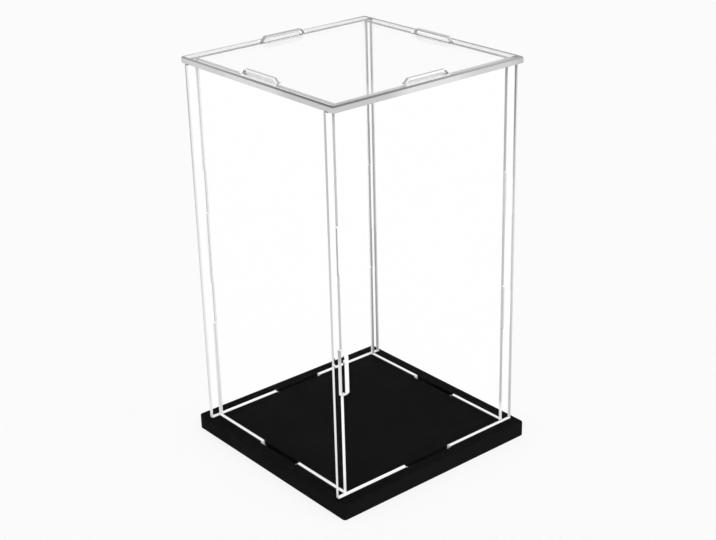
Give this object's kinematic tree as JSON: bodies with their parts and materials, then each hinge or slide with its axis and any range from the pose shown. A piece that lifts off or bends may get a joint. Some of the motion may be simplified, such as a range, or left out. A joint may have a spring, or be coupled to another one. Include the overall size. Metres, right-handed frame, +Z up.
{
  "type": "acrylic display case",
  "caption": "Tall clear display case of tabbed sheets that lock together in slots, with a drop-on lid, standing in a black base board.",
  "frame": {"origin": "middle of the base board's underside, which stands on the table", "axes": "+Z up, -Y out of the front wall, +X along the front wall to the right as seen from the front"},
  "size_m": [0.148, 0.148, 0.2505],
  "materials": {
    "clear_sheet": "clear polished sheet",
    "black_board": "satin black"
  },
  "bodies": {
    "base": {"base_board": "black_board"},
    "walls": {"front_wall": "clear_sheet", "back_wall": "clear_sheet", "left_wall": "clear_sheet", "right_wall": "clear_sheet"},
    "lid": {"lid_panel": "clear_sheet"}
  },
  "joints": [
    {"name": "cover_lift", "type": "slide", "parent": "base", "child": "walls", "axis": [0, 0, 1], "range_m": [0, 0.25]},
    {"name": "lid_lift", "type": "slide", "parent": "walls", "child": "lid", "axis": [0, 0, 1], "range_m": [0, 0.06]}
  ]
}
